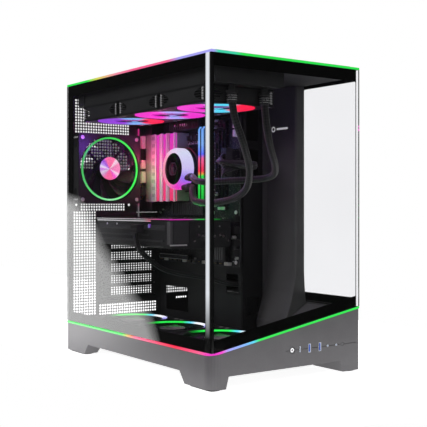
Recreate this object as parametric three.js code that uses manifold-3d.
// A desktop computer tower with three glass panes, lit edge strips and ten fans, in millimetres, +Z up.
// The front faces -Y and the large glass pane faces -X. Inside this file every place is measured from the
// front left bottom corner: x to the right, y to the back, z up. The exported group then moves the case so
// that its origin is the centre of its footprint.

import * as THREE from "three";
import { mergeVertices } from "three/addons/utils/BufferGeometryUtils.js";
import Module from "manifold-3d";

const wasm = await Module();
wasm.setup();

// ---------------------------------------------------------------- driving dimensions

const WIDTH = 272;
const DEPTH = 425;
const HEIGHT = 455;
const GAP = 0.3; // clearance between pieces that touch
const SHEET = 1.5; // folded steel sheet
const GLASS = 4;

// Base: a moulded skirt on four corner feet, its rim rising from left to right.
const PAD_TOP = 1.7;
const FOOT_BOTTOM = 2;
const FOOT_TOP = 20.5;
const SKIRT_BOTTOM = 18.5;
const RIM_LEFT = 47;
const RIM_RIGHT = 93;
const BASE_WALL = 3;
const BASE_CORNER = { left: 16, right: 3.5 }; // radii of the front corners
const STRIP = 3; // height of a light strip
const STRIP_WIDTH = 4;

// Floor and roof planes.
const FLOOR_BOTTOM = 34;
const FLOOR_TOP = FLOOR_BOTTOM + SHEET;
const ROOF = 438;
const STRIP_BOTTOM = 450;
const ROOF_TOP = STRIP_BOTTOM + STRIP;
const GLASS_TOP = STRIP_BOTTOM - GAP;

// Upright planes.
const REAR = 412; // inner face of the rear panel
const TRAY = 182; // left face of the motherboard tray
const TRAY_FRONT = 170;
const COLUMN = { left: 250, front: 121, back: 191 };
const PANE_END = 138; // where the right glass ends and the steel panel starts
const CORNER_STRIP = 14; // length of the clear strip at the front end of the left pane

// Fans.
const FAN = { size: 119.6, depth: 25, bore: 57.5, hub: 20, tip: 53 };
const FAN_PITCH = 120;
const BOTTOM_FANS = { x: 70, y: 80, z: FLOOR_TOP + GAP + FAN.depth / 2 };
const TOP_FANS = { x: 75, y: 93, z: 413 - GAP - FAN.depth / 2 };
const REAR_FAN = { x: 65, y: REAR - GAP - FAN.depth / 2, z: 310 };

// Radiator.
const RADIATOR = { left: 15, right: 136, front: 14, back: 408, bottom: 413, top: ROOF - GAP };
const FITTINGS = { x: [51, 108], y: 25, radius: 5, bottom: 405 };

// Motherboard and what stands on it.
const BOARD = { left: 175, thick: 1.6, front: 168, bottom: 148, top: 392 };
const PUMP = { y: 281, z: 308, radius: 35, face: 124 };
const SLOT_PITCH = 20.32;
const TOP_SLOT = 219.5; // height of the topmost expansion slot
const SLOT_COUNT = 7;
const CARD_SLOTS = 2; // slots that the graphics card takes

// Graphics card.
const CARD = { left: 52, right: 163, front: 177, back: 409.5, bottom: 181, top: 223.6 };
const CARD_FANS = { y: [233, 337], bore: 45, tip: 42.5, depth: 14 };

// Power supply, upright behind the tray.
const SUPPLY = { left: 184, right: 270, front: 270, back: REAR - GAP, bottom: 104, top: 254 };
const SUPPLY_FAN = { y: 340, z: 179, bore: 60, tip: 53 };

// Front connectors, along one line of the base.
const PORT_LINE = 43;
const POWER_BUTTON = { x: 140, radius: 4.7, hole: 5.2 };
const LIGHT_BUTTON = { x: 237, radius: 2.2, hole: 2.6 };
const BUTTON_DEPTH = 5;
const BUTTON_TRAVEL = 1.5;
const USB_A = { x: [172.7, 192.7], width: 5.1, height: 12.6, depth: 12 };
const USB_C = { x: 155, width: 2.8, height: 8.6, depth: 8 };
const JACKS = { x: [208, 225], radius: 1.8, depth: 10 };

// ---------------------------------------------------------------- materials

function material(color, roughness, metalness, more = {}) {
  return new THREE.MeshStandardMaterial({ color, roughness, metalness, flatShading: true, ...more });
}

const baseGrey = material(0x6a686a, 0.5, 0.35);
const blackSteel = material(0x1d1d1f, 0.5, 0.4);
const columnGrey = material(0x4a484a, 0.45, 0.3);
const blackPlastic = material(0x161617, 0.55, 0);
const rubber = material(0x0f0f10, 0.9, 0);
const glass = material(0x9aa2a6, 0.05, 0, { transparent: true, opacity: 0.25 });
const clearEdge = material(0xd8dddd, 0.2, 0);
const litStrip = material(0x58e070, 0.4, 0, { emissive: 0x208030 });
const rotorSmoke = material(0x3c3450, 0.35, 0);
const boardBlack = material(0x141618, 0.6, 0.1);
const silver = material(0xb8b6ba, 0.35, 0.8);
const braid = material(0x1a1a1d, 0.8, 0);
const mesh = material(0x242426, 0.7, 0.1);

// ---------------------------------------------------------------- solids

// A closed geometry as a solid that can be joined and cut.
function solid(geometry) {
  const bare = geometry.index ? geometry.toNonIndexed() : geometry.clone();
  bare.deleteAttribute("normal");
  bare.deleteAttribute("uv");
  const merged = mergeVertices(bare, 1e-4);
  return new wasm.Manifold(
    new wasm.Mesh({
      numProp: 3,
      vertProperties: new Float32Array(merged.attributes.position.array),
      triVerts: new Uint32Array(merged.index.array),
    }),
  );
}

function geometryOf(body) {
  const { vertProperties, triVerts } = body.getMesh();
  const geometry = new THREE.BufferGeometry();
  geometry.setAttribute("position", new THREE.BufferAttribute(vertProperties, 3));
  geometry.setIndex(new THREE.BufferAttribute(triVerts, 1));
  return geometry;
}

function join(bodies) {
  return bodies.reduce((all, body) => all.add(body));
}

function cut(body, tools) {
  return tools.reduce((left, tool) => left.subtract(tool), body);
}

function box(low, high) {
  const size = high.map((value, axis) => value - low[axis]);
  const geometry = new THREE.BoxGeometry(...size);
  geometry.translate(...low.map((value, axis) => value + size[axis] / 2));
  return solid(geometry);
}

const AXES = {
  x: new THREE.Vector3(1, 0, 0),
  y: new THREE.Vector3(0, 1, 0),
  z: new THREE.Vector3(0, 0, 1),
};

// A round rod along an axis, from one value of that axis to another, through a centre point.
function rod(axis, centre, radius, from, to, sides = 28) {
  const geometry = new THREE.CylinderGeometry(radius, radius, to - from, sides);
  const turn = new THREE.Quaternion().setFromUnitVectors(AXES.y, AXES[axis]);
  const middle = new THREE.Vector3(...centre);
  middle[axis] = (from + to) / 2;
  geometry.applyMatrix4(new THREE.Matrix4().compose(middle, turn, new THREE.Vector3(1, 1, 1)));
  return solid(geometry);
}

function outline(points) {
  return new THREE.Shape(points.map(([u, v]) => new THREE.Vector2(u, v)));
}

// A rectangle with rounded corners, radii in the order low-low, high-low, high-high, low-high.
function roundedOutline(u0, v0, u1, v1, radii) {
  const [a, b, c, d] = Array.isArray(radii) ? radii : [radii, radii, radii, radii];
  const shape = new THREE.Shape();
  shape.moveTo(u0 + a, v0);
  shape.lineTo(u1 - b, v0);
  if (b) shape.absarc(u1 - b, v0 + b, b, -Math.PI / 2, 0);
  shape.lineTo(u1, v1 - c);
  if (c) shape.absarc(u1 - c, v1 - c, c, 0, Math.PI / 2);
  shape.lineTo(u0 + d, v1);
  if (d) shape.absarc(u0 + d, v1 - d, d, Math.PI / 2, Math.PI);
  shape.lineTo(u0, v0 + a);
  if (a) shape.absarc(u0 + a, v0 + a, a, Math.PI, 1.5 * Math.PI);
  return shape;
}

// An outline extruded along an axis: (x, y) along z, (x, z) along y, or (y, z) along x.
function prism(axis, shape, from, to, curveSegments = 3) {
  const depth = to - from;
  const geometry = new THREE.ExtrudeGeometry(shape, { depth, bevelEnabled: false, curveSegments });
  const place = new THREE.Matrix4();
  if (axis === "z") place.makeTranslation(0, 0, from);
  if (axis === "y") place.makeBasis(AXES.x, AXES.z, AXES.y.clone().negate()).setPosition(0, to, 0);
  if (axis === "x") place.makeBasis(AXES.y, AXES.z, AXES.x).setPosition(from, 0, 0);
  geometry.applyMatrix4(place);
  return solid(geometry);
}

// A smooth eight-sided tube through points chosen along its route.
function tube(points, radius, steps) {
  const section = new THREE.Shape();
  section.absarc(0, 0, radius, 0, 2 * Math.PI);
  const path = new THREE.CatmullRomCurve3(points.map((p) => new THREE.Vector3(...p)), false, "centripetal");
  return solid(
    new THREE.ExtrudeGeometry(section, { extrudePath: path, steps, curveSegments: 4, bevelEnabled: false }),
  );
}

function spread(count, first, pitch) {
  return Array.from({ length: count }, (_, index) => first + index * pitch);
}

// ---------------------------------------------------------------- the case, as one group

const tower = new THREE.Group();
tower.position.set(-WIDTH / 2, -DEPTH / 2, 0);

function add(name, body, look, parent = tower) {
  const piece = new THREE.Mesh(geometryOf(body), look);
  piece.name = name;
  parent.add(piece);
  return piece;
}

// Height of the base's rim at a distance from the left side.
function rimAt(x) {
  return RIM_LEFT + ((RIM_RIGHT - RIM_LEFT) * x) / WIDTH;
}

// ---------------------------------------------------------------- base

const baseOutline = (inset) =>
  roundedOutline(inset, inset, WIDTH - inset, DEPTH - inset, [
    BASE_CORNER.left - inset,
    Math.max(0, BASE_CORNER.right - inset),
    4 - inset,
    4 - inset,
  ]);

// Everything under the slanted rim, seen from the front.
const underRim = (lift, bottom = 0) =>
  outline([
    [-1, bottom],
    [WIDTH + 1, bottom],
    [WIDTH + 1, rimAt(WIDTH + 1) + lift],
    [-1, rimAt(-1) + lift],
  ]);

const FOOT = { left: 24, right: 34, flare: 5, length: 64, lengthTop: 78 };

// One corner foot, narrower at the bottom on its two inner sides.
function foot(atRight, atBack) {
  const side = (near, low, high, end) =>
    near
      ? [[end, FOOT_BOTTOM], [end, FOOT_TOP], [end - high, FOOT_TOP], [end - low, FOOT_BOTTOM]]
      : [[0, FOOT_BOTTOM], [low, FOOT_BOTTOM], [high, FOOT_TOP], [0, FOOT_TOP]];
  const width = atRight ? FOOT.right : FOOT.left;
  const across = prism("y", outline(side(atRight, width, width + FOOT.flare, WIDTH)), 0, DEPTH);
  const along = prism("x", outline(side(atBack, FOOT.length, FOOT.lengthTop, DEPTH)), 0, WIDTH);
  return across.intersect(along).intersect(prism("z", baseOutline(0), 0, FOOT_TOP));
}

const corners = [
  ["front_left", false, false],
  ["front_right", true, false],
  ["rear_left", false, true],
  ["rear_right", true, true],
];

function portCuts(deep) {
  const through = deep ? 0 : BASE_WALL + GAP;
  const slot = (x, port) =>
    box(
      [x - port.width / 2, -1, PORT_LINE - port.height / 2],
      [x + port.width / 2, through || BASE_WALL + GAP + port.depth, PORT_LINE + port.height / 2],
    );
  const jack = (x) =>
    rod("y", [x, 0, PORT_LINE], JACKS.radius, -1, through || BASE_WALL + GAP + JACKS.depth, 8);
  return [...USB_A.x.map((x) => slot(x, USB_A)), slot(USB_C.x, USB_C), ...JACKS.x.map(jack)];
}

function basePlinth() {
  const block = prism("z", baseOutline(0), SKIRT_BOTTOM, RIM_RIGHT + 1);
  const wall = block.intersect(prism("y", underRim(0), 0, DEPTH));
  const hollow = prism("z", baseOutline(BASE_WALL), 0, RIM_RIGHT + 2);
  const rearCut = box([-1, REAR - 3, RIM_LEFT], [WIDTH - BASE_WALL, DEPTH + 1, RIM_RIGHT + 2]);
  const ledge = box([2, REAR + SHEET + GAP, FLOOR_TOP], [WIDTH - 2, DEPTH - 2, RIM_LEFT]);
  const filterSlot = box([12.5, DEPTH - 5, 22.5], [127.5, DEPTH + 1, 27.5]);
  const groove = box([128, -1, PORT_LINE - 0.6], [264, 0.8, PORT_LINE + 0.6]);
  const buttons = [POWER_BUTTON, LIGHT_BUTTON].map((button) =>
    rod("y", [button.x, 0, PORT_LINE], button.hole, -1, BASE_WALL + 1, 16),
  );
  const shell = cut(wall, [hollow, rearCut]).add(ledge);
  const feet = corners.map(([, atRight, atBack]) => foot(atRight, atBack));
  return cut(join([shell, ...feet]), [filterSlot, groove, ...buttons, ...portCuts(false)]);
}

add("base_plinth", basePlinth(), baseGrey);

for (const [name, atRight, atBack] of corners) {
  const x = atRight ? WIDTH - 21 : 3;
  const y = atBack ? DEPTH - 59 : 5;
  add(`foot_pad_${name}`, prism("z", roundedOutline(x, y, x + 18, y + 54, 6), 0, PAD_TOP, 1), rubber);
}

const fanCentres = spread(3, BOTTOM_FANS.y, FAN_PITCH);

function floorPlate() {
  const edge = BASE_WALL + GAP;
  const sheet = prism(
    "z",
    roundedOutline(edge, edge, WIDTH - edge, REAR - GAP, [BASE_CORNER.left - edge, 0, 0, 0]),
    FLOOR_BOTTOM,
    FLOOR_TOP,
  );
  const holes = fanCentres.map((y) =>
    rod("z", [BOTTOM_FANS.x, y, 0], FAN.bore, FLOOR_BOTTOM - 1, FLOOR_TOP + 1),
  );
  // Two L-shaped rails under the sheet carry the dust filter.
  const rail = (x, inwards) =>
    box([x, 16, 20.8], [x + 1.5, REAR - 8, FLOOR_BOTTOM + 0.5]).add(
      box([Math.min(x, x + inwards), 16, 20.8], [Math.max(x, x + inwards) + 1.5, REAR - 8, 22.3]),
    );
  return cut(sheet, holes).add(rail(11, 6)).add(rail(127.5, -6));
}

add("floor_plate", floorPlate(), blackSteel);

const FILTER = { left: 13.5, right: 126.5, front: 18, back: DEPTH, bottom: 23, top: 26.5, border: 7 };

function dustFilter() {
  const tray = box([FILTER.left, FILTER.front, FILTER.bottom], [FILTER.right, FILTER.back, FILTER.top]);
  const count = 4;
  const pitch = (FILTER.back - FILTER.front - FILTER.border) / count;
  const windows = spread(count, FILTER.front + FILTER.border, pitch).map((y) =>
    box([FILTER.left + FILTER.border, y, 0], [FILTER.right - FILTER.border, y + pitch - FILTER.border, 40]),
  );
  const web = box([FILTER.left + 2, FILTER.front + 2, 24], [FILTER.right - 2, FILTER.back - 4, 24.8]);
  return cut(tray, windows).add(web);
}

add("bottom_dust_filter", dustFilter(), mesh);

// ---------------------------------------------------------------- light strips and roof

const stripBlock = (inset, bottom, top) => {
  const radii = [BASE_CORNER.left - inset, 0, 0, 0];
  return prism("z", roundedOutline(inset, inset, WIDTH + 20, DEPTH + 20, radii), bottom, top);
};

function bottomStrip() {
  const ring = stripBlock(0, 0, RIM_RIGHT + 10).subtract(stripBlock(STRIP_WIDTH, -1, RIM_RIGHT + 11));
  const band = prism("y", underRim(STRIP), 0, DEPTH).subtract(prism("y", underRim(GAP), -1, DEPTH + 1));
  const left = box([-1, -1, 0], [STRIP_WIDTH, DEPTH, RIM_RIGHT + 10]);
  const front = box([-1, -1, 0], [WIDTH, BASE_CORNER.left, RIM_RIGHT + 10]);
  return ring.intersect(band).intersect(left.add(front));
}

add("bottom_light_strip", bottomStrip(), litStrip);
add(
  "top_light_strip",
  prism(
    "z",
    outline([
      [0, 0],
      [WIDTH, 0],
      [WIDTH, STRIP_WIDTH],
      [STRIP_WIDTH, STRIP_WIDTH],
      [STRIP_WIDTH, DEPTH],
      [0, DEPTH],
    ]),
    STRIP_BOTTOM,
    ROOF_TOP,
  ),
  litStrip,
);

const INNER_RIGHT = WIDTH - GLASS - GAP;
const VENT_MAIN = { left: 22, right: 130, front: 36, back: 396 };
const VENT_SIDE = { left: 192, right: 258, front: 150, back: 396 };

function topFrame() {
  const edge = GLASS + 1 + GAP;
  const inner = box([edge, edge, ROOF], [INNER_RIGHT, DEPTH - GAP, ROOF_TOP]);
  const rim = box([STRIP_WIDTH + GAP, STRIP_WIDTH + GAP, STRIP_BOTTOM], [WIDTH, DEPTH, ROOF_TOP]);
  const vents = [VENT_MAIN, VENT_SIDE].map((vent) =>
    box([vent.left, vent.front, ROOF - 1], [vent.right, vent.back, HEIGHT]),
  );
  return cut(inner.add(rim), vents);
}

add("top_frame", topFrame(), blackSteel);

function topVentCover() {
  const plate = prism("z", roundedOutline(8, 8, WIDTH - 8, DEPTH - 8, 6), ROOF_TOP + GAP, HEIGHT, 1);
  const slots = (vent, count) => {
    const pitch = (vent.back - vent.front) / count;
    return spread(count, vent.front, pitch).map((y) =>
      box([vent.left, y, ROOF_TOP - 1], [vent.right, y + pitch / 2, HEIGHT + 1]),
    );
  };
  return cut(plate, [...slots(VENT_MAIN, 12), ...slots(VENT_SIDE, 8)]);
}

add("top_vent_cover", topVentCover(), blackSteel);

// ---------------------------------------------------------------- glass and side panel

const paneBottom = (x) => rimAt(x) + STRIP + GAP;

add(
  "corner_glass_strip",
  box([0, 0, paneBottom(GLASS) + GAP], [GLASS, CORNER_STRIP, GLASS_TOP]),
  clearEdge,
);
add(
  "front_glass",
  prism(
    "y",
    outline([
      [GLASS + GAP, paneBottom(GLASS) + GAP],
      [WIDTH, paneBottom(WIDTH) + GAP],
      [WIDTH, GLASS_TOP],
      [GLASS + GAP, GLASS_TOP],
    ]),
    0,
    GLASS,
  ),
  glass,
);
add(
  "left_glass_panel",
  box([0, CORNER_STRIP + GAP, paneBottom(GLASS) + GAP], [GLASS, DEPTH, GLASS_TOP]),
  glass,
);
add(
  "right_front_glass",
  box([WIDTH - GLASS, GLASS + GAP, RIM_RIGHT + STRIP], [WIDTH, PANE_END, GLASS_TOP]),
  glass,
);

const SIDE_PANEL = { front: PANE_END + GAP, bottom: RIM_RIGHT + GAP, thick: 1.4 };

function sidePanel() {
  const { front, bottom, thick } = SIDE_PANEL;
  const sheet = box([WIDTH - thick, front, bottom], [WIDTH, DEPTH, GLASS_TOP]);
  // Vertical vent slots beside the power supply, and a second group higher up.
  const slots = (first, low, high) =>
    spread(8, first, 15).map((y) => box([WIDTH - 5, y, low], [WIDTH + 1, y + 6, high]));
  return cut(sheet, [...slots(282, 120, 238), ...slots(282, 300, 400)]);
}

add("right_side_panel", sidePanel(), blackSteel);

// ---------------------------------------------------------------- inner walls

// The front wall of the cable chamber runs slantwise from the tray to the column.
const WALL_LINE = { from: [TRAY + 0.6, TRAY_FRONT + 0.4], to: [238.8, COLUMN.back] };
const wallBand = (front, back, stretch = 0) =>
  outline([
    [WALL_LINE.from[0] - stretch, WALL_LINE.from[1] + front - stretch * 0.37],
    [WALL_LINE.to[0], WALL_LINE.to[1] + front],
    [WALL_LINE.to[0], WALL_LINE.to[1] + back],
    [WALL_LINE.from[0] - stretch, WALL_LINE.from[1] + back - stretch * 0.37],
  ]);

const CABLE_SLOTS = [
  [286, 338],
  [352, 404],
  [70, 98],
];

function chamberFrontWall() {
  const wall = prism("z", wallBand(0, 1.6), FLOOR_TOP + GAP, ROOF - GAP);
  const slots = CABLE_SLOTS.map(([bottom, top]) => box([192, 160, bottom], [226, 200, top]));
  return cut(wall, slots);
}

add("chamber_front_wall", chamberFrontWall(), blackSteel);

// Sloped trim along the foot of the right wall: up a low step, then up to the rim of the base.
const SLOPE = { left: 220, low: 62, right: 268.3, high: 90.8 };
const slopeAt = (x) => SLOPE.low + ((SLOPE.high - SLOPE.low) * (x - SLOPE.left)) / (SLOPE.right - SLOPE.left);

const portHousing = (grow) =>
  box(
    [131 - grow, BASE_WALL + GAP - grow, FLOOR_TOP + GAP - grow],
    [247 + grow, 20 + grow, PORT_LINE + 8 + grow],
  );

// What lies behind the slanted wall, kept clear by the trim and the column's foot.
const behindWall = (depth) =>
  outline([
    [WALL_LINE.from[0], WALL_LINE.from[1] - 0.5],
    [WALL_LINE.to[0], WALL_LINE.to[1] - 0.5],
    [WALL_LINE.to[0], WALL_LINE.to[1] + depth],
    [WALL_LINE.from[0], WALL_LINE.from[1] + depth],
  ]);

function floorSideTrim() {
  const skin = 2.2;
  const section = outline([
    [SLOPE.left, FLOOR_TOP + GAP],
    [SLOPE.left + skin, FLOOR_TOP + GAP],
    [SLOPE.left + skin, SLOPE.low - 1.2],
    [SLOPE.right, SLOPE.high - 2.6],
    [SLOPE.right, SLOPE.high],
    [SLOPE.left, SLOPE.low],
  ]);
  const inside = prism("z", baseOutline(BASE_WALL + GAP), 0, RIM_RIGHT);
  const bent = prism("y", section, GLASS + GAP, COLUMN.back - 1).intersect(inside);
  return cut(bent, [prism("z", behindWall(60), 0, 100), portHousing(GAP)]);
}

add("floor_side_trim", floorSideTrim(), columnGrey);

function cableCoverColumn() {
  const skin = 2;
  const right = INNER_RIGHT;
  const section = outline([
    [COLUMN.left, COLUMN.front],
    [right, COLUMN.front],
    [right, COLUMN.front + skin],
    [COLUMN.left + skin, COLUMN.front + skin],
    [COLUMN.left + skin, COLUMN.back + skin],
    [239.4, COLUMN.back + skin],
    [239.4, COLUMN.back],
    [COLUMN.left, COLUMN.back],
  ]);
  const cover = prism("z", section, SLOPE.low - 26, ROOF - GAP);
  const flare = outline([
    [SLOPE.left + 1, slopeAt(SLOPE.left + 1)],
    [COLUMN.left + 1, slopeAt(COLUMN.left + 1)],
    [COLUMN.left + 1, 87],
  ]);
  const pedestal = prism("y", flare, COLUMN.front - 5, COLUMN.back - 1);
  const underSlope = outline([
    [SLOPE.left, 0],
    [right + 5, 0],
    [right + 5, slopeAt(right + 5) + GAP],
    [SLOPE.left, slopeAt(SLOPE.left) + GAP],
  ]);
  return cut(cover.add(pedestal), [
    prism("y", underSlope, 0, COLUMN.back - 0.7),
    prism("z", behindWall(60), 0, 100),
  ]);
}

add("cable_cover_column", cableCoverColumn(), columnGrey);

const boardHoles = [BOARD.front + 10, BOARD.front + 120, REAR - 14];
const boardHoleHeights = [BOARD.bottom + 8, BOARD.bottom + 88, BOARD.top - 8];

function motherboardTray() {
  const sheet = box([TRAY, TRAY_FRONT + 3, FLOOR_TOP + GAP], [TRAY + 1.3, REAR - GAP, ROOF - GAP]);
  const bossFoot = BOARD.left + BOARD.thick + GAP;
  const bosses = boardHoles.flatMap((y) =>
    boardHoleHeights.map((z) => box([bossFoot, y - 4, z - 4], [TRAY + 0.5, y + 4, z + 4])),
  );
  const coolerWindow = box([TRAY - 1, 230, 250], [TRAY + 3, 335, 365]);
  const rearWindow = box([TRAY - 1, 322, 62], [TRAY + 3, 392, 104]);
  const cableHole = box([TRAY - 1, 182, 104], [TRAY + 3, 214, 136]);
  return cut(join([sheet, ...bosses]), [coolerWindow, rearWindow, cableHole]);
}

add("motherboard_tray", motherboardTray(), blackSteel);

// ---------------------------------------------------------------- rear wall

const IO_OPENING = { left: 131.2, right: 175.2, bottom: 235.2, top: 392.2 };
const slotHeights = spread(SLOT_COUNT, TOP_SLOT - (SLOT_COUNT - 1) * SLOT_PITCH, SLOT_PITCH);

function rearPanel() {
  const right = WIDTH - 1.8;
  const left = GLASS + GAP;
  const sheet = box([left, REAR, FLOOR_TOP + GAP], [right, REAR + SHEET, ROOF - GAP]);
  const belowRim = box([right - 3, REAR - 1, 0], [right + 1, DEPTH, RIM_RIGHT + GAP]);
  const flange = (low, high) => box([low[0], REAR, low[1]], [high[0], DEPTH - GAP, high[1]]);
  const flanges = [
    flange([left, RIM_LEFT + GAP], [left + SHEET, ROOF - GAP]),
    flange([right - SHEET, RIM_LEFT + GAP], [right, ROOF - GAP]),
    flange([left, ROOF - GAP - SHEET], [right, ROOF - GAP]),
  ];
  const window = (x0, x1, z0, z1) => box([x0, REAR - 1, z0], [x1, REAR + SHEET + 1, z1]);
  const slots = slotHeights.map((z) => window(66, 170, z - 6.8, z + 6.8));
  const fanGrille = spread(7, -45, 15).map((rise) => {
    const half = Math.sqrt(54 * 54 - rise * rise);
    return window(REAR_FAN.x - half, REAR_FAN.x + half, REAR_FAN.z + rise - 4, REAR_FAN.z + rise + 4);
  });
  const leftVents = spread(4, 11, 12).map((x) => window(x, x + 6, 58, 244));
  const lowVents = spread(6, 64, 18).map((x) => window(x, x + 12, 58, 76));
  const chamberVents = spread(5, 194, 14).map((x) => window(x, x + 8, 56, 96));
  return cut(join([sheet, ...flanges]), [
    belowRim,
    ...slots,
    ...fanGrille,
    ...leftVents,
    ...lowVents,
    ...chamberVents,
    window(IO_OPENING.left, IO_OPENING.right, IO_OPENING.bottom, IO_OPENING.top),
    window(SUPPLY.left + 4, SUPPLY.right - 4, SUPPLY.bottom + 5, SUPPLY.top - 5),
  ]);
}

add("rear_panel", rearPanel(), blackSteel);

const BRACKET = { left: 60, right: 172, back: REAR - GAP, front: REAR - GAP - 1.5 };

function slotCovers() {
  const count = SLOT_COUNT - CARD_SLOTS;
  const bottom = slotHeights[0] - SLOT_PITCH / 2 + 0.6;
  const top = slotHeights[count - 1] + SLOT_PITCH / 2 - 0.6;
  const plate = box([BRACKET.left - 5, BRACKET.front, bottom], [BRACKET.right, BRACKET.back, top]);
  const slits = slotHeights.slice(1, count).map((z) =>
    box(
      [BRACKET.left + 2, BRACKET.front - 1, z - SLOT_PITCH / 2 - 0.8],
      [BRACKET.right + 1, BRACKET.back + 1, z - SLOT_PITCH / 2 + 0.8],
    ),
  );
  return cut(plate, slits);
}

add("slot_cover_set", slotCovers(), blackSteel);

// ---------------------------------------------------------------- fans

// A square fan frame about its own centre: bore along Z, motor disc and struts at its lower face.
function fanFrame() {
  const half = FAN.size / 2;
  const back = -FAN.depth / 2;
  const block = prism("z", roundedOutline(-half, -half, half, half, 5), back, -back, 1);
  const bored = block.subtract(rod("z", [0, 0, 0], FAN.bore, back - 1, -back + 1));
  const struts = [0, 1].map((turn) => {
    const reach = [FAN.bore + 1, 2];
    const [x, y] = turn ? reach : [...reach].reverse();
    return box([-x, -y, back], [x, y, back + 3]);
  });
  return join([bored, ...struts, rod("z", [0, 0, 0], FAN.hub, back, back + 3, 12)]);
}

// A rotor about its own centre: a round hub with swept, pitched blades.
function fanRotor(hub, tip, bottom, top, blades = 7) {
  const middle = (bottom + top) / 2;
  const rise = top - bottom;
  const blade = new THREE.Shape();
  blade.moveTo(hub - 2, -hub * 0.35);
  blade.quadraticCurveTo(tip * 0.7, -hub * 0.1, tip * 0.98, -hub * 0.05);
  blade.lineTo(tip * 0.93, hub * 0.85);
  blade.quadraticCurveTo(tip * 0.6, hub * 0.7, hub - 3, hub * 0.45);
  const thick = 1.6;
  const pitch = Math.asin(Math.min(0.6, (rise - thick) / (hub * 1.4)));
  const parts = spread(blades, 0, (2 * Math.PI) / blades).map((angle) => {
    const options = { depth: thick, bevelEnabled: false, curveSegments: 2 };
    const geometry = new THREE.ExtrudeGeometry(blade, options);
    geometry.translate(0, -hub * 0.3, -thick / 2);
    geometry.rotateX(pitch);
    geometry.rotateZ(angle);
    geometry.translate(0, 0, middle);
    return solid(geometry);
  });
  return join([rod("z", [0, 0, 0], hub, bottom, top, 14), ...parts]);
}

// A frame and its rotor in a group that stands where the fan stands.
function caseFan(name, place, turn) {
  const group = new THREE.Group();
  group.position.set(place.x, place.y, place.z);
  group.rotation.set(...turn);
  tower.add(group);
  add(`${name}_frame`, fanFrame(), blackPlastic, group);
  const rotor = fanRotor(FAN.hub, FAN.tip, -FAN.depth / 2 + 3 + 1, FAN.depth / 2 - 2);
  add(`${name}_rotor`, rotor, rotorSmoke, group);
}

spread(3, 0, 1).forEach((index) => {
  caseFan(`bottom_fan_${index + 1}`, { ...BOTTOM_FANS, y: fanCentres[index] }, [0, 0, 0]);
  caseFan(`top_fan_${index + 1}`, { ...TOP_FANS, y: TOP_FANS.y + index * FAN_PITCH }, [Math.PI, 0, 0]);
});
caseFan("rear_fan", REAR_FAN, [Math.PI / 2, 0, 0]);

// ---------------------------------------------------------------- liquid cooler

function radiator() {
  const { left, right, front, back, bottom, top } = RADIATOR;
  const tankLength = 20;
  const core = box([left + 2, front + tankLength, bottom], [right - 2, back - tankLength, top]);
  const tank = (from, to) => prism("y", roundedOutline(left, bottom, right, top, 5), from, to, 1);
  const fittings = FITTINGS.x.map((x) =>
    rod("z", [x, FITTINGS.y, 0], FITTINGS.radius, FITTINGS.bottom, bottom + 1, 10),
  );
  const front_tank = tank(front, front + tankLength + 1);
  return join([core, front_tank, tank(back - tankLength - 1, back), ...fittings]);
}

add("radiator", radiator(), blackSteel);

// Where the pump's two hose tails stand: height, and how far forward each one starts and ends.
const TAILS = [
  { x: 133, z: 277, start: 262, end: 243.3 },
  { x: 132.2, z: 293, start: 252, end: 238.3 },
];

function pumpBlock() {
  const { y, z, radius, face } = PUMP;
  const can = rod("x", [0, y, z], radius, face + 3, 168);
  const bracket = box([166, y - 38, z - 38], [171.4, y + 38, z + 38]);
  const tails = TAILS.map((tail) => rod("y", [tail.x, 0, tail.z], 5, tail.end, tail.start + 8, 10));
  return join([can, bracket, ...tails]);
}

add("cpu_pump_block", pumpBlock(), blackPlastic);
add(
  "cpu_pump_cap",
  rod("x", [0, PUMP.y, PUMP.z], PUMP.radius - 2, PUMP.face - 0.5, PUMP.face + 3 - GAP),
  blackPlastic,
);

const HOSE_RADIUS = 6;
const HOSES = [
  [
    [51, 25, 404.6],
    [52, 25, 388],
    [57, 26, 368],
    [67, 29, 350],
    [84, 38, 326],
    [106, 56, 298],
    [121, 82, 273],
    [125, 114, 259],
    [122, 152, 252.5],
    [120, 192, 252],
    [121, 213, 256],
    [126.7, 226.5, 268],
    [132.5, 235, 275.5],
    [133, 241.9, 277],
  ],
  [
    [108, 25, 404.6],
    [109, 25, 388],
    [113, 27, 366],
    [120, 31, 346],
    [134, 41, 326],
    [156, 59, 307],
    [170, 78, 294.5],
    [173, 100, 289],
    [165, 124, 287],
    [147, 146, 285.5],
    [130, 163, 284.5],
    [121, 184, 284],
    [121, 206, 286.5],
    [125.8, 221.5, 291],
    [130.6, 230.5, 292.7],
    [132.2, 236.9, 293],
  ],
];
HOSES.forEach((route, index) => add(`coolant_hose_${index + 1}`, tube(route, HOSE_RADIUS, 30), braid));

// ---------------------------------------------------------------- motherboard group

const MEMORY = { y: [203, 213], left: 130, bottom: 246, top: 373, thick: 7 };
const SOCKET_LEFT = 169;

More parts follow.
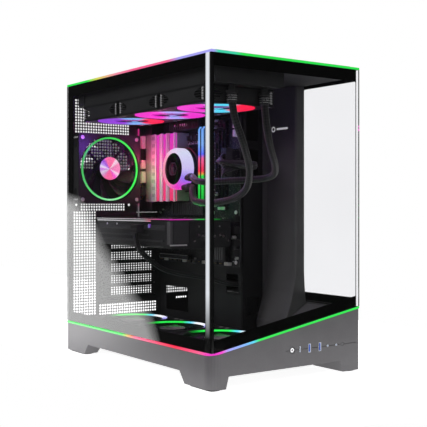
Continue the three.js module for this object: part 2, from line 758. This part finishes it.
function motherboard() {
  const on = (depth, y0, y1, z0, z1) => box([BOARD.left - depth, y0, z0], [BOARD.left + 0.5, y1, z1]);
  const sheet = box(
    [BOARD.left, BOARD.front, BOARD.bottom],
    [BOARD.left + BOARD.thick, REAR - GAP, BOARD.top],
  );
  const memorySockets = MEMORY.y.map((y) => on(BOARD.left - SOCKET_LEFT, y - 3.6, y + 3.6, 240, 385));
  const cpuSocket = on(3, PUMP.y - 30, PUMP.y + 30, PUMP.z - 30, PUMP.z + 30);
  const cardSlots = [0, 2, 3].map((step) => {
    const z = TOP_SLOT - step * SLOT_PITCH;
    return on(9.4, 298, 388, z - 3.8, z + 3.8);
  });
  const powerHeader = on(13, 172, 183, 285, 337);
  const chipset = on(8, 196, 246, 156, 198);
  const driveCover = on(6, 258, 350, 232, 252);
  const topHeatsink = on(24, 240, 330, 374, 391);
  return join([
    sheet,
    ...memorySockets,
    cpuSocket,
    ...cardSlots,
    powerHeader,
    chipset,
    driveCover,
    topHeatsink,
  ]);
}

add("motherboard", motherboard(), boardBlack);

function memoryModule(y) {
  const section = outline([
    [MEMORY.bottom, SOCKET_LEFT - GAP],
    [MEMORY.bottom, MEMORY.left + 3],
    [MEMORY.bottom + 5, MEMORY.left],
    [MEMORY.top - 5, MEMORY.left],
    [MEMORY.top, MEMORY.left + 3],
    [MEMORY.top, SOCKET_LEFT - GAP],
  ].map(([z, x]) => [x, z]));
  return prism("y", section, y - MEMORY.thick / 2, y + MEMORY.thick / 2);
}

MEMORY.y.forEach((y, index) => add(`memory_module_${index + 1}`, memoryModule(y), blackPlastic));

const IO_COVER = { left: 146, front: 306, back: 404, bottom: 254, top: 372 };

function ioCover() {
  const { left, front, back, bottom, top } = IO_COVER;
  const block = box([left, front, bottom], [BOARD.left - GAP, 386.5, top]);
  const hood = box([left, 386, bottom], [left + 2.5, back, top]);
  const ribs = spread(11, front + 5, 9).map((y) =>
    box([left - 1, y, bottom - 1], [left + 1.2, y + 4, top + 1]),
  );
  return cut(block.add(hood), ribs).subtract(
    box([left - 5, PUMP.y - 40, PUMP.z - 39.5], [BOARD.left, PUMP.y + 39, PUMP.z + 39.5]),
  );
}

add("io_heatsink_cover", ioCover(), silver);

function ioPortBlock() {
  const sockets = box([149, 387, 238], [BOARD.left - GAP, REAR + 0.5, 390]);
  const shield = box([131.6, REAR + 0.2, 235.6], [BOARD.left - GAP, REAR + SHEET, 391.8]);
  const back = REAR + SHEET;
  const ports = spread(6, 246, 22).map((z) => box([154, back - 12, z], [168, back + 1, z + 13]));
  return cut(sockets.add(shield), ports);
}

add("io_port_block", ioPortBlock(), silver);

// ---------------------------------------------------------------- graphics card

const cardMiddle = (CARD.left + CARD.right) / 2;

function cardShroud() {
  const body = prism(
    "y",
    roundedOutline(CARD.left, CARD.bottom, CARD.right, CARD.top, [5, 5, 0, 0]),
    CARD.front,
    CARD.back,
    2,
  );
  const bores = CARD_FANS.y.map((y) =>
    rod("z", [cardMiddle, y, 0], CARD_FANS.bore, CARD.bottom - 1, CARD.bottom + CARD_FANS.depth),
  );
  const slotRelief = box([CARD.right - 8, 290, 214], [CARD.right + 1, 395, 224]);
  return cut(body, [...bores, slotRelief]);
}

add("gpu_shroud", cardShroud(), blackPlastic);
add(
  "gpu_backplate",
  box([CARD.left - 2, CARD.front + 1, CARD.top + GAP], [CARD.right, CARD.back - 1, CARD.top + 2.6]),
  blackSteel,
);
CARD_FANS.y.forEach((y, index) => {
  const rotor = add(
    `gpu_fan_${index + 1}`,
    fanRotor(15, CARD_FANS.tip, -CARD_FANS.depth / 2 + 1, CARD_FANS.depth / 2 - 1),
    blackPlastic,
  );
  rotor.position.set(cardMiddle, y, CARD.bottom + CARD_FANS.depth / 2);
  rotor.rotation.set(Math.PI, 0, 0);
});

function cardBracket() {
  const heights = slotHeights.slice(SLOT_COUNT - CARD_SLOTS);
  const plate = box(
    [BRACKET.left, BRACKET.front, heights[0] - SLOT_PITCH / 2 + 0.6],
    [BRACKET.right, BRACKET.back, heights[1] + SLOT_PITCH / 2 - 1],
  );
  const ports = [74, 96, 118].map((x) =>
    box([x, BRACKET.front, heights[1] - 3.5], [x + 16, REAR + SHEET, heights[1] + 3.5]),
  );
  const slits = spread(10, 72, 9).map((x) =>
    box([x, BRACKET.front - 1, heights[0] - 5], [x + 5, BRACKET.back + 1, heights[0] + 5]),
  );
  return cut(join([plate, ...ports]), slits);
}

add("gpu_bracket", cardBracket(), silver);

// ---------------------------------------------------------------- power supply

const SWITCH = { x: 212, z: 122, half: 6, tall: 8, pivotDepth: 4.5, tilt: THREE.MathUtils.degToRad(8) };
const INLET = { x: 246, z: 124 };

function powerSupply() {
  const { left, right, front, back, bottom, top } = SUPPLY;
  const body = box([left, front, bottom], [right, back, top]);
  const bore = rod("x", [0, SUPPLY_FAN.y, SUPPLY_FAN.z], SUPPLY_FAN.bore, right - 27, right + 1);
  const inlet = box([INLET.x - 13, back - 16, INLET.z - 9.5], [INLET.x + 13, back + 1, INLET.z + 9.5]);
  const blades = [-7, 0, 7].map((shift) =>
    box([INLET.x + shift - 1, back - 17, INLET.z - 3], [INLET.x + shift + 1, back - 4, INLET.z + 3]),
  );
  const switchWell = box(
    [SWITCH.x - SWITCH.half - 1, back - 9, SWITCH.z - SWITCH.tall - 1],
    [SWITCH.x + SWITCH.half + 1, back + 1, SWITCH.z + SWITCH.tall + 1],
  );
  return join([cut(body, [bore, inlet, switchWell]), ...blades]);
}

add("power_supply", powerSupply(), blackSteel);

// The rocker is a shallow V about its pivot, tilted so that its lower half is pressed in.
const rocker = prism(
  "x",
  outline([
    [-2.5, -4],
    [2.6, -SWITCH.tall + 0.5],
    [1.4, 0],
    [2.6, SWITCH.tall - 0.5],
    [-2.5, 4],
  ]),
  -SWITCH.half,
  SWITCH.half,
);
const rockerMesh = add("power_supply_switch", rocker, blackPlastic);
rockerMesh.position.set(SWITCH.x, SUPPLY.back - SWITCH.pivotDepth, SWITCH.z);
rockerMesh.rotation.set(SWITCH.tilt, 0, 0);

const supplyRotor = add("power_supply_fan", fanRotor(FAN.hub, SUPPLY_FAN.tip, -10.5, 10.5), blackPlastic);
supplyRotor.position.set(SUPPLY.right - 13, SUPPLY_FAN.y, SUPPLY_FAN.z);
supplyRotor.rotation.set(0, Math.PI / 2, 0);

add("ssd_drive", box([TRAY + 2, 190, 320], [TRAY + 9, 260, 420]), silver);

// ---------------------------------------------------------------- held cables

const CARD_PLUG = { x: 43, y: 263, bottom: 203 };

function cardCable() {
  const plug = box([38.5, 253, CARD_PLUG.bottom], [CARD.left - GAP, 273, 217]);
  const route = [
    [43, 263, 206],
    [43, 262, 194],
    [47, 262, 181],
    [59, 264, 168],
    [80, 268, 153],
    [102, 271, 142],
    [126, 264, 135],
    [146, 247, 131],
    [162, 228, 127],
    [174, 212, 122],
    [186, 200, 119],
    [202, 200, 119],
    [217, 214, 122],
    [225, 238, 126],
    [226, 269.3, 128],
  ];
  return plug.add(tube(route, 4.5, 28));
}

add("gpu_power_cable", cardCable(), braid);

function boardCable() {
  const plug = box([149, 171, 284], [BOARD.left - 13 - GAP, 184, 338]);
  const route = [
    [151, 177, 311],
    [141, 174, 311],
    [138, 163, 311],
    [149, 153, 311],
    [172, 151, 311],
    [195, 160, 311],
    [209, 182, 311],
    [214, 206, 302],
    [219, 232, 270],
    [224, 245, 222],
    [227, 256, 194],
    [227, 262, 190],
    [227, 268.8, 190],
  ];
  return plug.add(tube(route, 8, 24));
}

add("board_power_cable", boardCable(), braid);

// ---------------------------------------------------------------- front connectors

function frontPorts() {
  const pocket = (button) =>
    rod("y", [button.x, 0, PORT_LINE], button.hole + 0.4, 0, BUTTON_DEPTH + BUTTON_TRAVEL + 1, 16);
  return cut(portHousing(0), [pocket(POWER_BUTTON), pocket(LIGHT_BUTTON), ...portCuts(true)]);
}

add("front_port_board", frontPorts(), blackPlastic);

const button = ({ x, radius }) => rod("y", [x, 0, PORT_LINE], radius, 0.2, BUTTON_DEPTH, 16);
add("power_button", button(POWER_BUTTON), silver);
add("light_button", button(LIGHT_BUTTON), blackPlastic);

export default tower;
